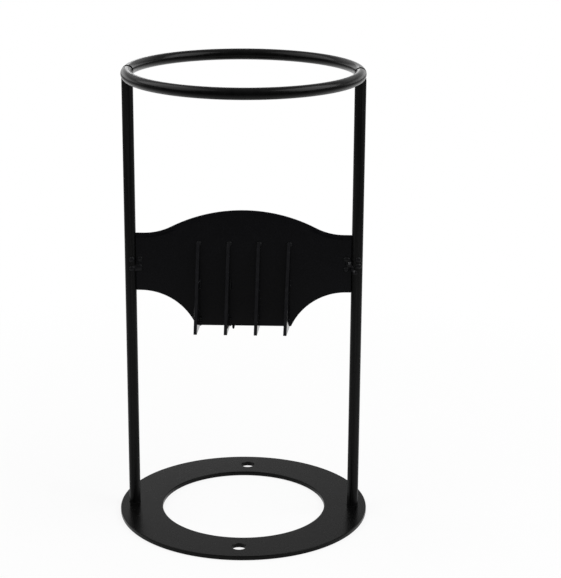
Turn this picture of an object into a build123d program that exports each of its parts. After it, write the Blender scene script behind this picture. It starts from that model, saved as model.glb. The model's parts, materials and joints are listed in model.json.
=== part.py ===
"""Kindling splitter: a welded round-bar frame that holds an upright splitting blade.

The blade stands in the XZ plane between two uprights, the fins spread along Y, and the front faces -Y.
The origin is the centre of the base ring's underside. Lengths are millimetres.
"""
import os

from build123d import *

os.makedirs("parts", exist_ok=True)

# Stock
bar_diameter = 10.0
base_thickness = 4.0
blade_thickness = 5.0
fin_thickness = 3.0

# Hoop and uprights
overall_height = 408.0
hoop_inside_diameter = 190.0
hoop_end_chamfer = 1.5
upright_end_chamfer = 0.6

# Base ring, measured from the uprights outwards and inwards
base_margin = 7.5
base_ring_width = 38.5
base_edge_break = 0.8
bolt_hole_count = 2
bolt_hole_diameter = 12.5
bolt_hole_inset = 20.0

# Splitting blade, from its bottom edge up
blade_bottom = 176.5
scoop_drop = 32.0
wing_depth = 52.0
crown_rise = 21.4
wing_radius = 53.0
wing_flat = 7.0
scoop_flat = 4.0
edge_bevel_height = 4.0
edge_land = 1.0

# Fins on each face of the blade
fin_count = 4
fin_spacing = 26.6
fin_edge_margin = 1.0
fin_length = 76.5
fin_depth = 28.0
fin_nose = 1.5

# Weld beads
foot_weld_leg = 1.2
hoop_weld_height = 4.0
hoop_weld_root = 1.5
blade_weld_radius = 4.0
blade_weld_length = 16.0
blade_weld_stand_off = 1.5
blade_weld_taper = 30.0
fin_weld_leg = 2.5
fin_weld_length = 8.0

# Places that follow from the sizes above
bar_radius = bar_diameter / 2
hoop_radius = hoop_inside_diameter / 2 + bar_radius
hoop_height = overall_height - bar_radius
upright_top = overall_height - bar_diameter
base_outer_radius = hoop_radius + bar_radius + base_margin
base_inner_radius = base_outer_radius - base_ring_width
bolt_circle_radius = base_outer_radius - bolt_hole_inset

blade_half_width = hoop_radius - bar_radius
blade_face = blade_thickness / 2
wing_bottom = blade_bottom + scoop_drop
wing_top = wing_bottom + wing_depth
wing_middle = (wing_bottom + wing_top) / 2
crown_top = wing_top + crown_rise

fin_row_half = fin_spacing * (fin_count - 1) / 2
fin_places = [fin_spacing * number - fin_row_half for number in range(fin_count)]
fin_top = blade_bottom + fin_length
blade_bottom_half = fin_row_half + fin_thickness / 2 + fin_edge_margin

sides = {"left": -1, "right": 1}
blade_sides = {"front": -1, "rear": 1}

# Base ring with two bolt holes in line with the fins
with BuildPart() as base_plate:
    with BuildSketch():
        Circle(base_outer_radius)
        Circle(base_inner_radius, mode=Mode.SUBTRACT)
    extrude(amount=base_thickness)
    rims = base_plate.edges().filter_by(GeomType.CIRCLE)
    chamfer(rims, base_edge_break)
    with PolarLocations(bolt_circle_radius, bolt_hole_count, start_angle=90):
        Hole(bolt_hole_diameter / 2)
base_plate.part.label = "base_plate"
export_step(base_plate.part, "parts/base_plate.step")

# Two half hoops that butt over the uprights
for blade_side, direction in blade_sides.items():
    with BuildPart() as half_hoop:
        with BuildSketch(Plane.XZ):
            with Locations((hoop_radius, hoop_height)):
                Circle(bar_radius)
        revolve(axis=Axis.Z, revolution_arc=direction * 180)
        ends = half_hoop.faces().filter_by(GeomType.PLANE)
        chamfer(ends.edges(), hoop_end_chamfer)
    half_hoop.part.label = f"{blade_side}_half_hoop"
    export_step(half_hoop.part, f"parts/{blade_side}_half_hoop.step")

# Uprights, square cut, from the base ring to the underside of the hoop
uprights = {}
for side, direction in sides.items():
    with BuildPart() as upright:
        with BuildSketch(Plane.XY.offset(base_thickness)):
            with Locations((direction * hoop_radius, 0)):
                Circle(bar_radius)
        extrude(amount=upright_top - base_thickness)
        top_rim = upright.edges().sort_by(Axis.Z)[-1]
        chamfer(top_rim, upright_end_chamfer)
    upright.part.label = f"{side}_upright"
    export_step(upright.part, f"parts/{side}_upright.step")
    uprights[side] = upright.part

# Splitting blade: a crown that sweeps down to the wings, two scoops below them, a ground top edge
wing_arc_end = blade_half_width - wing_flat
arc_radii = (wing_arc_end**2 + crown_rise**2) / (2 * crown_rise)
crown_share = 1 - wing_radius / arc_radii
inflection = (wing_arc_end * crown_share, crown_top - crown_rise * crown_share)
with BuildPart() as splitting_blade:
    with BuildSketch(Plane.XZ):
        with BuildLine():
            TangentArc((0, crown_top), inflection, tangent=(1, 0))
            TangentArc((wing_arc_end, wing_top), inflection, tangent=(-1, 0))
            Polyline(
                (wing_arc_end, wing_top),
                (blade_half_width, wing_top),
                (blade_half_width, wing_bottom),
                (blade_half_width - scoop_flat, wing_bottom),
            )
            TangentArc(
                (blade_half_width - scoop_flat, wing_bottom),
                (blade_bottom_half, blade_bottom),
                tangent=(-1, 0),
            )
            Line((blade_bottom_half, blade_bottom), (0, blade_bottom))
            mirror(about=Plane.YZ)
        make_face()
    extrude(amount=blade_face, both=True)
    for end in (0, -1):
        face = splitting_blade.faces().filter_by(Axis.Y).sort_by(Axis.Y)[end]
        top_edges = face.edges().filter_by(lambda edge: edge.bounding_box().min.Z > wing_middle)
        chamfer(top_edges, edge_bevel_height, blade_face - edge_land / 2, reference=face)
splitting_blade.part.label = "splitting_blade"
export_step(splitting_blade.part, "parts/splitting_blade.step")

# Fins: wedges that start flush at the top and push the split wood apart
for blade_side, direction in blade_sides.items():
    for number, place in enumerate(fin_places, start=1):
        with BuildPart() as fin:
            with BuildSketch(Plane.YZ.offset(place)):
                with BuildLine():
                    Polyline(
                        (direction * blade_face, blade_bottom),
                        (direction * (blade_face + fin_depth), blade_bottom),
                        (direction * (blade_face + fin_nose), fin_top),
                        (direction * blade_face, fin_top),
                        close=True,
                    )
                make_face()
            extrude(amount=fin_thickness / 2, both=True)
        fin.part.label = f"{blade_side}_fin_{number}"
        export_step(fin.part, f"parts/{blade_side}_fin_{number}.step")

# Welds at the uprights: a fillet round each foot, a saddle under the hoop, a bead on each blade face
for side, direction in sides.items():
    foot = (direction * hoop_radius, 0, base_thickness)
    with BuildPart() as foot_weld:
        with BuildSketch(Plane(origin=foot, x_dir=(1, 0, 0), z_dir=(0, -1, 0))):
            with BuildLine():
                Polyline(
                    (bar_radius, 0),
                    (bar_radius + foot_weld_leg, 0),
                    (bar_radius, foot_weld_leg),
                    close=True,
                )
            make_face()
        revolve(axis=Axis(foot, (0, 0, 1)))
    foot_weld.part.label = f"{side}_foot_weld"
    export_step(foot_weld.part, f"parts/{side}_foot_weld.step")

    with BuildPart() as hoop_weld:
        with BuildSketch(Plane.XY.offset(upright_top)):
            with Locations((direction * hoop_radius, 0)):
                Circle(bar_radius - upright_end_chamfer)
                Rectangle(2 * hoop_weld_root, bar_diameter, mode=Mode.SUBTRACT)
        extrude(amount=hoop_weld_height)
        with Locations((0, 0, hoop_height)):
            Torus(hoop_radius, bar_radius, mode=Mode.SUBTRACT)
    hoop_weld.part.label = f"{side}_hoop_weld"
    export_step(hoop_weld.part, f"parts/{side}_hoop_weld.step")

    with BuildPart() as blade_welds:
        for face_direction in blade_sides.values():
            bead_x = direction * blade_half_width
            bead_y = face_direction * blade_weld_stand_off
            with BuildSketch(Plane.XZ.offset(-bead_y)):
                with Locations((bead_x, wing_middle)):
                    SlotOverall(blade_weld_length, 2 * blade_weld_radius, rotation=90)
            extrude(amount=-face_direction * blade_weld_radius, taper=blade_weld_taper)
        add(splitting_blade.part, mode=Mode.SUBTRACT)
        add(uprights[side], mode=Mode.SUBTRACT)
    blade_welds.part.label = f"{side}_blade_welds"
    export_step(blade_welds.part, f"parts/{side}_blade_welds.step")

# Tack welds across the top of each fin, and at its middle and bottom on the side towards the centre
tack_starts = (blade_bottom, blade_bottom + (fin_length - fin_weld_length) / 2)
for blade_side, direction in blade_sides.items():
    face_y = direction * blade_face
    with BuildPart() as fin_welds:
        for place in fin_places:
            with BuildSketch(Plane.YZ.offset(place)):
                with BuildLine():
                    Polyline(
                        (face_y, fin_top),
                        (face_y + direction * fin_nose, fin_top),
                        (face_y, fin_top + fin_weld_leg),
                        close=True,
                    )
                make_face()
            extrude(amount=fin_thickness / 2, both=True)
            inward = -1 if place > 0 else 1
            corner_x = place + inward * fin_thickness / 2
            for start in tack_starts:
                with BuildSketch(Plane.XY.offset(start)):
                    with BuildLine():
                        Polyline(
                            (corner_x, face_y),
                            (corner_x + inward * fin_weld_leg, face_y),
                            (corner_x, face_y + direction * fin_weld_leg),
                            close=True,
                        )
                    make_face()
                extrude(amount=fin_weld_length)
    fin_welds.part.label = f"{blade_side}_fin_welds"
    export_step(fin_welds.part, f"parts/{blade_side}_fin_welds.step")
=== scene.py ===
"""Looks of a welded kindling splitter: smooth bars, coated plates and rippled welds on its CAD frame.

Lengths are metres. The blade stands in the XZ plane, the front faces -Y and the base ring lies on Z = 0.
"""
import json
import math
import random

import bmesh
import bpy
from mathutils import Matrix, Vector


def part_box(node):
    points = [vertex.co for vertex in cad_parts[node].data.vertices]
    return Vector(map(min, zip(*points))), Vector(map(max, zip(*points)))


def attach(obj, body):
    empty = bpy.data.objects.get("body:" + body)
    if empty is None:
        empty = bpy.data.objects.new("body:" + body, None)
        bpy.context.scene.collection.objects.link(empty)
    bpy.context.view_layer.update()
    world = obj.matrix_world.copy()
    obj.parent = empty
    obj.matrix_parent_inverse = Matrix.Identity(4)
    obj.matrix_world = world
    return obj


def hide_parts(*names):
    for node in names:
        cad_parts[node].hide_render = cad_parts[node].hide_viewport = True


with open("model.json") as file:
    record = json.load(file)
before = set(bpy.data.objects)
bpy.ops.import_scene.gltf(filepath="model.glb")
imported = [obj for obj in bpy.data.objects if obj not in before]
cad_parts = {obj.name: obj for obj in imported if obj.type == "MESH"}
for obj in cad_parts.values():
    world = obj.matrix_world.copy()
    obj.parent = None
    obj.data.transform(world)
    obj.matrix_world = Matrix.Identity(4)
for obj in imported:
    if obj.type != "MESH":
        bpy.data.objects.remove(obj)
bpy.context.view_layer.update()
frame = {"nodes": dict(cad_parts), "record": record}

# How near two points are that touch, that are merged into one, or that leave only a sliver between them
touching = 1e-6
merged = 1e-6
sliver = 2e-5

# Sizes of the frame
millimetres = 1000
nodes = frame["nodes"]
plate_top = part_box("base_plate")[1].z
base_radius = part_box("base_plate")[1].x
opening_radius = min(corner.co.xy.length for corner in nodes["base_plate"].data.vertices)
bolts = next(mount for mount in frame["record"]["mounts"] if mount["name"] == "base_bolts")
bolt_hole_radius = bolts["dims"]["hole_r_mm"] / millimetres
bolt_reach = bolts["dims"]["spacing_y_mm"] / 2 / millimetres

upright_low, upright_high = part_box("right_upright")
bar_radius = (upright_high.x - upright_low.x) / 2
hoop_radius = (upright_high.x + upright_low.x) / 2
upright_top = upright_high.z
hoop_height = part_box("front_half_hoop")[1].z - bar_radius

blade_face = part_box("splitting_blade")[1].y
fin_low, fin_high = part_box("front_fin_1")
fin_corners = [corner.co for corner in nodes["front_fin_1"].data.vertices]
fin_nose = min(corner.y for corner in fin_corners if corner.z > fin_high.z - touching)
fin_thickness = fin_high.x - fin_low.x

# Rounding that the coat leaves on the edges, and the chamfer on the hoop's ends
plate_edge_round = 0.0008
hole_edge_round = 0.0004
upright_end_round = 0.0006
blade_edge_round = 0.0003
fin_edge_round = 0.0003
wide_round_segments = 3
fine_round_segments = 2
hoop_end_chamfer = 0.0020

# How far from its seams each half of the hoop is dull
dull_reach = {"front": hoop_end_chamfer, "rear": 0.004}

# Steps round each turned shape
ring_steps = 288
bolt_hole_steps = 72
hoop_steps = 72
hoop_bar_steps = 56
upright_steps = 64
drop_steps = 20
drop_rings = 12

# Angles in degrees below which the edges between faces are shaded smooth
plain_crease = 35
blade_crease = 22
weld_crease = 60

# How far each front fin was left leaning to the left when it was tacked on
front_fin_lean = [math.radians(angle) for angle in (2.7, 2.9, 3.6, 5.3)]
fin_numbers = range(1, 1 + len(front_fin_lean))

# Fineness of the weld metal's skin
weld_skin = 0.00025

# Lumps of each blade weld: how far each lies from the corner between upright and blade, and how high.
# Above zero it lies on the upright, and otherwise on the blade.
blade_lump_size = (0.0030, 0.0017, 0.0029)
blade_weld_lumps = {
    "left": ((0.0032, 0.0026), (-0.0034, 0.0026), (0.0031, -0.0056), (0.0, -0.0054), (-0.0030, -0.0052)),
    "right": (
        (0.0058, 0.0048), (-0.0040, 0.0045), (-0.0020, 0.0002), (0.0062, -0.0010),
        (0.0010, -0.0040), (-0.0046, -0.0046), (0.0029, -0.0068),
    ),
}

# Shiny knobs of spatter on the right-hand blade weld, placed in the same way, with their half sizes
weld_knobs = (
    (-0.0019, 0.0012, (0.0021, 0.0031, 0.0021)),
    (0.0028, -0.0056, (0.0014, 0.0025, 0.0013)),
)

# Seeded, so that every run gives the same welds
chance = random.Random(12)

sides = {"left": -1, "right": 1}
faces = {"front": -1, "rear": 1}


# Modelling helpers
def deselect():
    """Leave nothing selected, so that the next operator acts on the new piece alone."""
    bpy.ops.object.select_all(action="DESELECT")


def take(piece):
    """Select one piece alone and make it the active one."""
    deselect()
    piece.select_set(True)
    bpy.context.view_layer.objects.active = piece


def edit(piece):
    """Open a piece for edit-mode work, with all of it selected."""
    take(piece)
    bpy.ops.object.mode_set(mode="EDIT")
    bpy.ops.mesh.select_all(action="SELECT")


def pick(kind, test):
    """In edit mode, select just the vertices, edges or faces that pass a test."""
    bpy.ops.mesh.select_mode(type=kind)
    bpy.ops.mesh.select_all(action="DESELECT")
    mesh = bpy.context.edit_object.data
    shape = bmesh.from_edit_mesh(mesh)
    for element in {"VERT": shape.verts, "EDGE": shape.edges, "FACE": shape.faces}[kind]:
        element.select_set(test(element))
    shape.select_flush_mode()
    bmesh.update_edit_mesh(mesh)


def close_edit():
    """Leave edit mode."""
    bpy.ops.object.mode_set(mode="OBJECT")


def close_solid(reach=merged):
    """Merge a solid's doubles, turn its faces outwards and leave edit mode."""
    bpy.ops.mesh.select_all(action="SELECT")
    bpy.ops.mesh.remove_doubles(threshold=reach)
    bpy.ops.mesh.normals_make_consistent(inside=False)
    shape = bmesh.from_edit_mesh(bpy.context.edit_object.data)
    if shape.calc_volume(signed=True) < 0:
        bpy.ops.mesh.flip_normals()
    close_edit()


def settle(piece):
    """Put a piece's place, turn and scale into its mesh."""
    take(piece)
    bpy.ops.object.transform_apply(location=True, rotation=True, scale=True)


def apply_modifier(piece, name, kind, **settings):
    """Add a modifier with its settings and apply it."""
    take(piece)
    modifier = piece.modifiers.new(name, kind)
    for key, value in settings.items():
        setattr(modifier, key, value)
    bpy.ops.object.modifier_apply(modifier=modifier.name)


def smooth(piece, angle=plain_crease, flat_faces=True):
    """Shade a piece smooth below an angle, with its large flat faces kept flat where it has any."""
    take(piece)
    bpy.ops.object.shade_smooth_by_angle(angle=math.radians(angle))
    if flat_faces:
        apply_modifier(piece, "flat faces", "WEIGHTED_NORMAL", weight=100, keep_sharp=True)


def place_object(name, data):
    """A new object in the scene that shows a mesh, a lamp or a camera."""
    thing = bpy.data.objects.new(name, data)
    bpy.context.scene.collection.objects.link(thing)
    return thing


def copy_mesh(piece, name, move):
    """A copy of a piece with its own mesh, moved by a matrix."""
    copy = place_object(name, piece.data.copy())
    copy.data.transform(move)
    return copy


def hand_over(piece, name, finish, slot, *replaced):
    """Name a finished piece, coat it and fix it to the body in place of its CAD nodes."""
    piece.name = name
    piece.data.name = name
    piece.data.materials.clear()
    piece.data.materials.append(finish)
    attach(piece, "root")
    if replaced:
        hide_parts(*replaced)


# Finishes
def add_node(tree, kind, **settings):
    """A shader node with its plain settings and its input values."""
    node = tree.nodes.new(kind)
    for key, value in settings.items():
        if key in node.inputs:
            node.inputs[key].default_value = value
        else:
            setattr(node, key, value)
    return node


def map_range(tree, value, given, wanted):
    """A value carried over from one range to another, and held at its ends."""
    node = add_node(tree, "ShaderNodeMapRange")
    names = ("From Min", "From Max", "To Min", "To Max")
    for name, limit in zip(names, (*given, *wanted)):
        node.inputs[name].default_value = limit
    tree.links.new(value, node.inputs["Value"])
    return node.outputs["Result"]


def powder_coat(name, dark, light, roughness, shine, peel, tint=1, stretch=(1, 1, 1), edge_highlight_gain=1):
    """Black satin powder coat with orange peel of a given height and soft mottling.

    The mottling stretches into runs along a bar, and the cut edges of a plate can be given a painted
    highlight.
    """
    mottle_scale = 180
    peel_scale = 850
    tone_stops = (0.35, 0.68)
    gloss_range = (0.3, 0.7)
    material = bpy.data.materials.new(name)
    material.use_nodes = True
    tree = material.node_tree
    shader = tree.nodes["Principled BSDF"]
    shader.inputs["Specular IOR Level"].default_value = shine
    shader.inputs["Specular Tint"].default_value = (tint, tint, tint, 1)
    place = add_node(tree, "ShaderNodeTexCoord")
    runs = add_node(tree, "ShaderNodeMapping", Scale=stretch)
    mottle = add_node(tree, "ShaderNodeTexNoise", Scale=mottle_scale, Detail=4, Roughness=0.6)
    tone = add_node(tree, "ShaderNodeValToRGB")
    for stop, position, colour in zip(tone.color_ramp.elements, tone_stops, (dark, light)):
        stop.position = position
        stop.color = (*colour, 1)
    gloss = map_range(tree, mottle.outputs["Fac"], gloss_range, roughness)
    dimples = add_node(tree, "ShaderNodeTexNoise", Scale=peel_scale, Detail=1.5, Roughness=0.45)
    relief = add_node(tree, "ShaderNodeBump", Strength=1.0, Distance=peel)
    tree.links.new(place.outputs["Object"], runs.inputs["Vector"])
    tree.links.new(runs.outputs["Vector"], mottle.inputs["Vector"])
    tree.links.new(mottle.outputs["Fac"], tone.inputs["Fac"])
    tree.links.new(place.outputs["Object"], dimples.inputs["Vector"])
    tree.links.new(dimples.outputs["Fac"], relief.inputs["Height"])
    tree.links.new(gloss, shader.inputs["Roughness"])
    tree.links.new(relief.outputs["Normal"], shader.inputs["Normal"])
    tree.links.new(tone.outputs["Color"], shader.inputs["Base Color"])
    # Painted highlight: the colour of faces that look along Y is made lighter by this gain
    if edge_highlight_gain != 1:
        paint_edge_highlight(tree, place, tone, shader, edge_highlight_gain)
    return material


def paint_edge_highlight(tree, place, tone, shader, edge_highlight_gain):
    """Paint a highlight into the coat's colour on faces that look along Y, which are a fin's cut edges."""
    facing = (0.4, 0.9)
    way = add_node(tree, "ShaderNodeSeparateXYZ")
    size = add_node(tree, "ShaderNodeMath", operation="ABSOLUTE")
    bright = add_node(tree, "ShaderNodeVectorMath", operation="SCALE")
    gain = map_range(tree, size.outputs["Value"], facing, (1, edge_highlight_gain))
    tree.links.new(place.outputs["Normal"], way.inputs["Vector"])
    tree.links.new(way.outputs["Y"], size.inputs[0])
    tree.links.new(tone.outputs["Color"], bright.inputs[0])
    tree.links.new(gain, bright.inputs["Scale"])
    tree.links.new(bright.outputs["Vector"], shader.inputs["Base Color"])


plate_coat = powder_coat(
    "plate_coat", dark=(0.0015, 0.0015, 0.0015), light=(0.003, 0.003, 0.003),
    roughness=(0.24, 0.28), shine=0.09, peel=0.000002,
)
blade_coat = powder_coat(
    "blade_coat", dark=(0.0022, 0.0022, 0.0029), light=(0.0028, 0.0028, 0.0036),
    roughness=(0.22, 0.30), shine=0.075, peel=0.000004,
)
# The fins' cut edges carry a painted highlight, their colour made up to 3.5 times lighter
fin_coat = powder_coat(
    "fin_coat", dark=(0.0020, 0.0020, 0.0023), light=(0.0030, 0.0030, 0.0034),
    roughness=(0.05, 0.09), shine=0.12, peel=0.000002, edge_highlight_gain=3.5,
)
hoop_coat = powder_coat(
    "hoop_coat", dark=(0.001, 0.001, 0.001), light=(0.0025, 0.0025, 0.0025),
    roughness=(0.20, 0.27), shine=0.5, peel=0.000003, tint=0.19,
)
seam_coat = powder_coat(
    "seam_coat", dark=(0.001, 0.001, 0.001), light=(0.0025, 0.0025, 0.0025),
    roughness=(0.5, 0.6), shine=0, peel=0.000003,
)
upright_coat = powder_coat(
    "upright_coat", dark=(0.002, 0.002, 0.002), light=(0.008, 0.008, 0.008),
    roughness=(0.25, 0.40), shine=0.08, peel=0.000004, stretch=(4, 4, 0.05),
)
weld_coat = powder_coat(
    "weld_coat", dark=(0.0018, 0.0018, 0.0024), light=(0.0032, 0.0032, 0.0042),
    roughness=(0.36, 0.46), shine=0.13, peel=0.000004,
)
# The weld coat made about twice as light for the knobs: a painted highlight on top of their real shine
painted_glint_knob_coat = powder_coat(
    "painted_glint_knob_coat", dark=(0.0040, 0.0040, 0.0048), light=(0.0075, 0.0075, 0.0090),
    roughness=(0.24, 0.34), shine=0.5, peel=0.000004,
)
foot_coat = powder_coat(
    "foot_coat", dark=(0.0018, 0.0018, 0.0020), light=(0.0032, 0.0032, 0.0034),
    roughness=(0.40, 0.50), shine=0.03, peel=0.000004,
)


# Base ring: a rounded section spun about Z, with two bolt holes whose edges are eased
def bolt_hole_cutter():
    """A plug that flares where it passes the plate's faces, so that it leaves eased hole edges."""
    straight = plate_top - 2 * hole_edge_round
    overshoot = 1.25 * hole_edge_round
    flare = (bolt_hole_radius + overshoot) / bolt_hole_radius
    deselect()
    bpy.ops.mesh.primitive_cylinder_add(
        vertices=bolt_hole_steps, radius=bolt_hole_radius, depth=straight, location=(0, 0, plate_top / 2)
    )
    cutter = bpy.context.object
    settle(cutter)
    edit(cutter)
    for end in (-1, 1):
        pick("FACE", lambda face: face.normal.z * end > 0.9)
        bpy.ops.mesh.extrude_region_move(TRANSFORM_OT_translate={"value": (0, 0, end * overshoot)})
        bpy.ops.transform.resize(value=(flare, flare, 1), center_override=(0, 0, 0))
        bpy.ops.mesh.extrude_region_move(TRANSFORM_OT_translate={"value": (0, 0, end * plate_top)})
    close_solid()
    return cutter


def model_base_ring():
    """The flat ring that the frame stands on."""
    width = base_radius - opening_radius
    deselect()
    bpy.ops.mesh.primitive_plane_add(
        size=1, location=(opening_radius + width / 2, 0, plate_top / 2), rotation=(math.pi / 2, 0, 0)
    )
    ring = bpy.context.object
    ring.scale = (width, plate_top, 1)
    settle(ring)
    edit(ring)
    bpy.ops.mesh.bevel(affect="VERTICES", offset=plate_edge_round, segments=wide_round_segments)
    bpy.ops.mesh.delete(type="ONLY_FACE")
    bpy.ops.mesh.select_all(action="SELECT")
    bpy.ops.mesh.spin(steps=ring_steps, angle=2 * math.pi, center=(0, 0, 0), axis=(0, 0, 1))
    close_solid()

    cutter = bolt_hole_cutter()
    for end in (-1, 1):
        plug = copy_mesh(cutter, "plug", Matrix.Translation((0, end * bolt_reach, 0)))
        apply_modifier(ring, "bolt hole", "BOOLEAN", operation="DIFFERENCE", solver="EXACT", object=plug)
        bpy.data.objects.remove(plug)
    bpy.data.objects.remove(cutter)
    edit(ring)
    bpy.ops.mesh.dissolve_degenerate(threshold=sliver)
    close_solid(sliver)
    smooth(ring)
    hand_over(ring, "base_ring", plate_coat, "plate_coat", "base_plate")


# Hoop: two half turns of round bar whose chamfered ends butt over the uprights
def dull_ends(half, reach):
    """Take the shine off a half hoop's end faces, and off the bar as far as the weld's heat reached."""
    half.data.materials.append(seam_coat)
    edit(half)
    pick("FACE", lambda face: abs(face.calc_center_median().y) < reach)
    half.active_material_index = 1
    bpy.ops.object.material_slot_assign()
    close_edit()


def model_half_hoop(face, direction):
    """The front or the rear half of the hoop."""
    deselect()
    bpy.ops.mesh.primitive_circle_add(
        vertices=hoop_bar_steps, radius=bar_radius, location=(hoop_radius, 0, hoop_height),
        rotation=(math.pi / 2, 0, 0),
    )
    half = bpy.context.object
    settle(half)
    edit(half)
    bpy.ops.mesh.spin(steps=hoop_steps, angle=-direction * math.pi, center=(0, 0, 0), axis=(0, 0, 1))
    for end in (-1, 1):
        pick("EDGE", lambda edge: all(abs(v.co.y) < touching and v.co.x * end > 0 for v in edge.verts))
        bpy.ops.mesh.edge_face_add()
    bpy.ops.mesh.select_all(action="SELECT")
    bpy.ops.mesh.normals_make_consistent(inside=False)
    pick("EDGE", lambda edge: all(abs(v.co.y) < touching for v in edge.verts))
    bpy.ops.mesh.bevel(affect="EDGES", offset=hoop_end_chamfer, segments=1)
    close_solid()
    smooth(half)
    hand_over(half, f"{face}_hoop_bar", hoop_coat, "bar_coat", f"{face}_half_hoop")
    dull_ends(half, dull_reach[face])


# Uprights: square-cut bar with a broken top edge
def model_uprights():
    """One bar, copied to both sides."""
    length = upright_top - plate_top
    deselect()
    bpy.ops.mesh.primitive_cylinder_add(
        vertices=upright_steps, radius=bar_radius, depth=length, location=(0, 0, plate_top + length / 2)
    )
    bar = bpy.context.object
    settle(bar)
    edit(bar)
    pick("EDGE", lambda edge: all(v.co.z > upright_top - touching for v in edge.verts))
    bpy.ops.mesh.bevel(affect="EDGES", offset=upright_end_round, segments=wide_round_segments)
    close_solid()
    smooth(bar)
    for side, direction in sides.items():
        upright = copy_mesh(bar, side, Matrix.Translation((direction * hoop_radius, 0, 0)))
        hand_over(upright, f"{side}_upright_bar", upright_coat, "bar_coat", f"{side}_upright")
    bpy.data.objects.remove(bar)


# Splitting blade: the CAD outline with coated, softly rounded edges
def model_blade():
    """The blade between the uprights."""
    flat_within = math.radians(0.5)
    rounded_above = math.radians(38)
    blade = copy_mesh(nodes["splitting_blade"], "blade", Matrix())
    edit(blade)
    bpy.ops.mesh.remove_doubles(threshold=merged)
    bpy.ops.mesh.dissolve_limited(angle_limit=flat_within)
    close_edit()
    apply_modifier(
        blade, "coated edges", "BEVEL", width=blade_edge_round, segments=fine_round_segments,
        limit_method="ANGLE", angle_limit=rounded_above, harden_normals=False,
    )
    smooth(blade, blade_crease)
    hand_over(blade, "crowned_blade", blade_coat, "blade_coat", "splitting_blade")


# Fins: one wedge of plate, copied along both faces of the blade
def model_fins():
    """Leaning wedges on the front, as they were tacked on, and square ones on the rear."""
    deselect()
    bpy.ops.mesh.primitive_cube_add(size=1, location=(0, *((fin_low + fin_high) / 2).yz))
    wedge = bpy.context.object
    wedge.scale = fin_high - fin_low
    settle(wedge)
    edit(wedge)
    pick("VERT", lambda v: v.co.z > fin_high.z - touching and v.co.y < fin_low.y + touching)
    bpy.ops.transform.translate(value=(0, fin_nose - fin_low.y, 0))
    bpy.ops.mesh.select_mode(type="EDGE")
    bpy.ops.mesh.select_all(action="SELECT")
    bpy.ops.mesh.bevel(affect="EDGES", offset=fin_edge_round, segments=fine_round_segments)
    close_solid()
    smooth(wedge)
    root = Matrix.Translation((0, -blade_face, 0))
    for face in faces:
        for number, lean in zip(fin_numbers, front_fin_lean):
            low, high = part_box(f"{face}_fin_{number}")
            place = Matrix.Translation(((low.x + high.x) / 2, 0, 0))
            if face == "front":
                turn = root @ Matrix.Rotation(-lean, 4, "Z") @ root.inverted()
            else:
                turn = Matrix.Rotation(math.pi, 4, "Z")
            fin = copy_mesh(wedge, "fin", place @ turn)
            hand_over(fin, f"{face}_wedge_{number}", fin_coat, "fin_coat", f"{face}_fin_{number}")
    bpy.data.objects.remove(wedge)


# Welds: overlapping ripples of metal, skinned into one bead
def weld_bead(ripples):
    """A smooth bead from a list of ripples, each with its place, its turn and its three half sizes."""
    deselect()
    bpy.ops.mesh.primitive_uv_sphere_add(segments=drop_steps, ring_count=drop_rings, radius=1)
    drop = bpy.context.object
    drops = [copy_mesh(drop, "bead", Matrix.LocRotScale(*ripple)) for ripple in ripples]
    bpy.data.objects.remove(drop)
    bead = drops[0]
    take(bead)
    for one in drops:
        one.select_set(True)
    bpy.ops.object.join()
    apply_modifier(bead, "one skin", "REMESH", mode="VOXEL", voxel_size=weld_skin)
    apply_modifier(bead, "flow", "SMOOTH", factor=0.5, iterations=6)
    smooth(bead, weld_crease, flat_faces=False)
    return bead


def uneven(size, share=0.12):
    """A size that varies from ripple to ripple."""
    return size * (1 + chance.uniform(-share, share))


def model_foot_welds():
    """A thin fillet round each foot, with one proud stop where the weld was broken off."""
    ripple_count = 30
    ripple_size = (0.0007, 0.0012, 0.0006)
    ripple_share = 0.08
    sink = 0.0002
    reach = bar_radius - sink
    stop_angle = math.radians(-52)
    stop_size = (0.0012, 0.0012, 0.0015)
    for side, direction in sides.items():
        centre = Vector((direction * hoop_radius, 0, plate_top))
        spots = [(2 * math.pi * number / ripple_count, ripple_size) for number in range(ripple_count)]
        ripples = []
        for angle, sizes in [*spots, (stop_angle, stop_size)]:
            place = centre + reach * Vector((math.cos(angle), math.sin(angle), 0))
            turn = Matrix.Rotation(angle, 3, "Z").to_quaternion()
            ripples.append((place, turn, Vector([uneven(size, ripple_share) for size in sizes])))
        bead = weld_bead(ripples)
        hand_over(bead, f"{side}_foot_bead", foot_coat, "weld_coat", f"{side}_foot_weld")


def model_hoop_welds():
    """Two short saddles under the hoop, one each side of the bar's contact line."""
    reach = 0.7 * bar_radius
    lift = 0.0006
    ripple_angles = [math.radians(angle) for angle in (-50, -25, 0, 25, 50)]
    ripple_length = 0.0014
    ripple_width = 0.0012
    ripple_height = 0.0014
    for side, direction in sides.items():
        ripples = []
        for way in (-1, 1):
            for angle in ripple_angles:
                offset = Vector((way * math.cos(angle), math.sin(angle), 0)) * reach
                place = Vector((direction * hoop_radius, 0, upright_top + lift)) + offset
                sizes = Vector((ripple_length, ripple_width, uneven(ripple_height)))
                ripples.append((place, None, sizes))
        bead = weld_bead(ripples)
        hand_over(bead, f"{side}_hoop_bead", weld_coat, "weld_coat", f"{side}_hoop_weld")


def model_seam_tack():
    """The one tack that shows on top of the hoop, on the inner side of the right-hand seam."""
    inward = 0.0034
    back = 0.0004
    rise = 0.0032
    stride = (0.0007, 0.0006)
    droop = 0.0003
    ripple_size = (0.0011, 0.0013, 0.0009)
    middle = Vector((hoop_radius - inward, back, hoop_height + rise))
    ripples = []
    for step in (-1, 0, 1):
        place = middle + Vector((step * stride[0], step * stride[1], -abs(step) * droop))
        ripples.append((place, None, Vector([uneven(size) for size in ripple_size])))
    bead = weld_bead(ripples)
    hand_over(bead, "right_seam_tack", weld_coat, "weld_coat")


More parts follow.
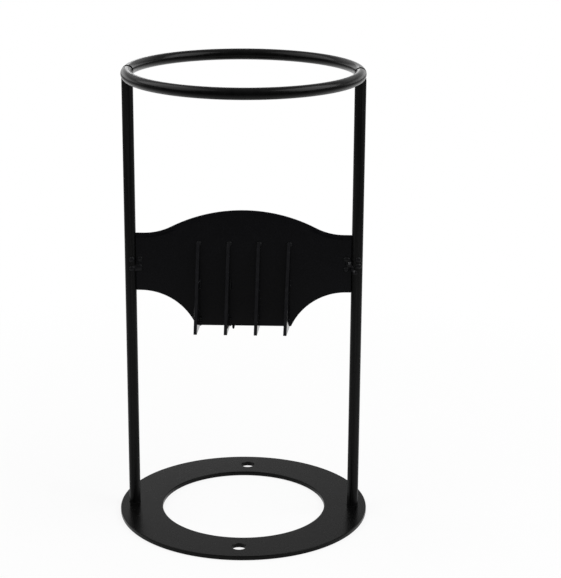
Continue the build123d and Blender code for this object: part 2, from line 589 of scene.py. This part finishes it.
def upright_skin(direction, face, angle, height):
    """A point on an upright's surface, at an angle from straight ahead towards the blade."""
    x = hoop_radius - bar_radius * math.sin(angle)
    return Vector((direction * x, face * bar_radius * math.cos(angle), height))


def corner_ripples(side, spots, share):
    """Ripples at a blade weld's spots, on both faces of the blade."""
    direction = sides[side]
    low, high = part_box(f"{side}_blade_welds")
    middle = (low.z + high.z) / 2
    corner = hoop_radius - bar_radius
    ripples = []
    for face in faces.values():
        for across, rise, sizes in spots:
            height = middle + rise
            turn = None
            place = Vector((direction * (corner + across), face * blade_face, height))
            if across > 0:
                angle = math.asin(1 - across / bar_radius)
                turn = Matrix.Rotation(direction * face * angle, 3, "Z").to_quaternion()
                place = upright_skin(direction, face, angle, height)
            ripples.append((place, turn, Vector([uneven(size, share) for size in sizes])))
    return ripples


def model_blade_welds():
    """Lumpy stick welds that fill the corner and spread over the upright and onto the blade."""
    lump_share = 0.2
    for side in sides:
        lumps = [(*spot, blade_lump_size) for spot in blade_weld_lumps[side]]
        bead = weld_bead(corner_ripples(side, lumps, lump_share))
        hand_over(bead, f"{side}_blade_bead", weld_coat, "weld_coat", f"{side}_blade_welds")


def model_weld_knobs():
    """Knobs of spatter on the right-hand blade weld that shine, with a painted highlight in their lighter
    coat.
    """
    knob_share = 0.05
    bead = weld_bead(corner_ripples("right", weld_knobs, knob_share))
    hand_over(bead, "right_weld_knobs", painted_glint_knob_coat, "weld_coat")


def model_fin_tacks():
    """A cap over each fin's top, two short beads along its root, and the drip that ran off one of them."""
    cap_width = 0.0025
    cap_depth = 0.0017
    cap_height = 0.0022
    cap_aside = 0.0006
    cap_sink = 0.0010
    tack_length = 0.008
    tack_steps = 4
    tack_size = (0.0014, 0.0014, 0.0015)
    drip_fin = 2
    drip_aside = 0.0028
    drip_drop = 0.0008
    drip_size = Vector((0.0012, 0.0011, 0.0023))
    for face, direction in faces.items():
        root = direction * blade_face
        ripples = []
        for number in fin_numbers:
            low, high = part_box(f"{face}_fin_{number}")
            middle = (low.x + high.x) / 2
            inward = -1 if middle > 0 else 1
            cap = Vector((uneven(cap_width), cap_depth, uneven(cap_height)))
            ripples.append((Vector((middle + cap_aside, root, high.z - cap_sink)), None, cap))
            corner = middle + inward * fin_thickness / 2
            for start in (low.z, (low.z + high.z - tack_length) / 2):
                for step in range(tack_steps):
                    place = Vector((corner, root, start + tack_length * (step + 0.5) / tack_steps))
                    ripples.append((place, None, Vector([uneven(size) for size in tack_size])))
            if number == drip_fin:
                drip = Vector((corner + inward * drip_aside, root, low.z - drip_drop))
                ripples.append((drip, None, drip_size))
        bead = weld_bead(ripples)
        hand_over(bead, f"{face}_fin_tacks", weld_coat, "weld_coat", f"{face}_fin_welds")


# Stage
def white_for_lens(tree):
    """One where the camera, a reflection or a clear piece looks, and zero for all other light."""
    path = add_node(tree, "ShaderNodeLightPath")
    seen = add_node(tree, "ShaderNodeMath", operation="MAXIMUM")
    any_seen = add_node(tree, "ShaderNodeMath", operation="MAXIMUM")
    tree.links.new(path.outputs["Is Camera Ray"], seen.inputs[0])
    tree.links.new(path.outputs["Is Glossy Ray"], seen.inputs[1])
    tree.links.new(seen.outputs["Value"], any_seen.inputs[0])
    tree.links.new(path.outputs["Is Transmission Ray"], any_seen.inputs[1])
    return any_seen.outputs["Value"]


def dim_far_paper(tree, place):
    """White to the camera. In reflections the paper fades to the sides and towards the camera."""
    fade_reach = (0.4, 1.4)
    fade_levels = (1.0, 0.2)
    split = add_node(tree, "ShaderNodeSeparateXYZ")
    ahead = add_node(tree, "ShaderNodeMath", operation="MINIMUM")
    ahead.inputs[1].default_value = 0
    spot = add_node(tree, "ShaderNodeCombineXYZ")
    distance = add_node(tree, "ShaderNodeVectorMath", operation="LENGTH")
    fade = map_range(tree, distance.outputs["Value"], fade_reach, fade_levels)
    path = add_node(tree, "ShaderNodeLightPath")
    # Inputs 2 and 3 of the mix node are its two numbers
    level = add_node(tree, "ShaderNodeMix", data_type="FLOAT")
    level.inputs[2].default_value = 1.0
    tree.links.new(place.outputs["Object"], split.inputs["Vector"])
    tree.links.new(split.outputs["Y"], ahead.inputs[0])
    tree.links.new(split.outputs["X"], spot.inputs["X"])
    tree.links.new(ahead.outputs["Value"], spot.inputs["Y"])
    tree.links.new(spot.outputs["Vector"], distance.inputs[0])
    tree.links.new(path.outputs["Is Glossy Ray"], level.inputs[0])
    tree.links.new(fade, level.inputs[3])
    return level.outputs[0]


def lay_floor():
    """White paper that keeps a faint shadow round the base and is plain white further out."""
    paper_size = 14
    paper_drop = 0.0002
    paper_grey = 0.8
    shadow_reach = (1.2 * base_radius, 6 * base_radius)
    whiteness = (0.85, 1.0)
    deselect()
    bpy.ops.mesh.primitive_plane_add(size=paper_size, location=(0, 0, -paper_drop))
    floor = bpy.context.object
    floor.name = "studio_floor"
    paper = bpy.data.materials.new("studio_paper")
    paper.use_nodes = True
    tree = paper.node_tree
    shader = tree.nodes["Principled BSDF"]
    shader.inputs["Base Color"].default_value = (paper_grey, paper_grey, paper_grey, 1)
    shader.inputs["Roughness"].default_value = 0.9
    shader.inputs["Specular IOR Level"].default_value = 0.0
    glow = add_node(tree, "ShaderNodeEmission", Color=(1, 1, 1, 1))
    place = add_node(tree, "ShaderNodeTexCoord")
    distance = add_node(tree, "ShaderNodeVectorMath", operation="LENGTH")
    white = map_range(tree, distance.outputs["Value"], shadow_reach, whiteness)
    share = add_node(tree, "ShaderNodeMath", operation="MULTIPLY")
    mix = add_node(tree, "ShaderNodeMixShader")
    tree.links.new(dim_far_paper(tree, place), glow.inputs["Strength"])
    tree.links.new(place.outputs["Object"], distance.inputs[0])
    tree.links.new(white_for_lens(tree), share.inputs[0])
    tree.links.new(white, share.inputs[1])
    tree.links.new(share.outputs["Value"], mix.inputs["Fac"])
    tree.links.new(shader.outputs["BSDF"], mix.inputs[1])
    tree.links.new(glow.outputs["Emission"], mix.inputs[2])
    tree.links.new(mix.outputs["Shader"], tree.nodes["Material Output"].inputs["Surface"])
    floor.data.materials.append(paper)


def height_ramp(tree, height, levels):
    """Grey levels of the room over the sine of the height above the horizon."""
    positions, greys = zip(*levels)
    room = add_node(tree, "ShaderNodeValToRGB")
    stops = room.color_ramp.elements
    stops[0].position = positions[0]
    stops[1].position = positions[-1]
    for position in positions[1:-1]:
        stops.new(position)
    for stop, grey in zip(stops, greys):
        stop.color = (grey, grey, grey, 1)
    tree.links.new(height, room.inputs["Fac"])
    return room.outputs["Color"]


def light_room():
    """A studio room: a wall with bright bands behind the object, dim elsewhere and lighter overhead."""
    near_levels = ((0.1, 0.2), (0.4, 0.25), (0.62, 0.35), (0.8, 0.45), (0.95, 0.55))
    wall_levels = (
        (0.17, 1), (0.24, 0.36), (0.36, 0.34), (0.46, 0.82), (0.55, 0.5), (0.65, 0.25), (0.95, 0.55),
    )
    wall_edge = (0.15, 0.6)
    world = bpy.data.worlds.new("studio")
    bpy.context.scene.world = world
    world.use_nodes = True
    tree = world.node_tree
    way = add_node(tree, "ShaderNodeTexCoord")
    split = add_node(tree, "ShaderNodeSeparateXYZ")
    behind = map_range(tree, split.outputs["Y"], wall_edge, (0, 1))
    near = height_ramp(tree, split.outputs["Z"], near_levels)
    wall = height_ramp(tree, split.outputs["Z"], wall_levels)
    # Inputs 6 and 7 of the mix node are its two colours, and output 2 is the mixed one
    mix = add_node(tree, "ShaderNodeMix", data_type="RGBA")
    tree.links.new(way.outputs["Generated"], split.inputs["Vector"])
    tree.links.new(behind, mix.inputs[0])
    tree.links.new(near, mix.inputs[6])
    tree.links.new(wall, mix.inputs[7])
    tree.links.new(mix.outputs[2], tree.nodes["Background"].inputs["Color"])


def hang_softboxes():
    """A large softbox at each side, above the object, and a far strip that edges the hoop's left end."""
    target = Vector((0, 0, hoop_height))
    # Place, width, height and watts
    softboxes = {
        "left_softbox": (Vector((-1.00, -0.10, 1.34)), 1.6, 1.2, 13),
        "right_softbox": (Vector((1.05, -0.25, 1.26)), 1.15, 1.2, 17),
        "far_strip": (Vector((-1.32, 12.0, 2.28)), 1.9, 1.2, 13),
    }
    for name, (place, width, height, watts) in softboxes.items():
        lamp = bpy.data.lights.new(name, "AREA")
        lamp.shape = "RECTANGLE"
        lamp.size = width
        lamp.size_y = height
        lamp.energy = watts
        softbox = place_object(name, lamp)
        softbox.location = place
        softbox.rotation_euler = (target - place).to_track_quat("-Z", "Y").to_euler()
        softbox.visible_camera = False


def set_camera():
    """The photograph's view, fitted to it, with the picture's long side across the sensor."""
    side_angle = math.radians(2.51)
    distance = 1.4715
    height = 0.6547
    heading = math.radians(1.238)
    pitch = math.radians(16.815)
    roll = math.radians(0.38)
    lens = bpy.data.cameras.new("camera")
    lens.lens = 107.98
    lens.sensor_width = 36
    camera = place_object("camera", lens)
    x = distance * math.sin(side_angle)
    y = -distance * math.cos(side_angle)
    aim = Matrix.Rotation(heading, 4, "Z") @ Matrix.Rotation(math.pi / 2 - pitch, 4, "X")
    camera.matrix_world = Matrix.Translation((x, y, height)) @ aim @ Matrix.Rotation(roll, 4, "Z")
    bpy.context.scene.camera = camera


model_base_ring()
for face_name, face_direction in faces.items():
    model_half_hoop(face_name, face_direction)
model_uprights()
model_blade()
model_fins()
model_foot_welds()
model_hoop_welds()
model_seam_tack()
model_blade_welds()
model_fin_tacks()
model_weld_knobs()
lay_floor()
light_room()
hang_softboxes()
set_camera()
bpy.context.scene.view_settings.view_transform = "Standard"
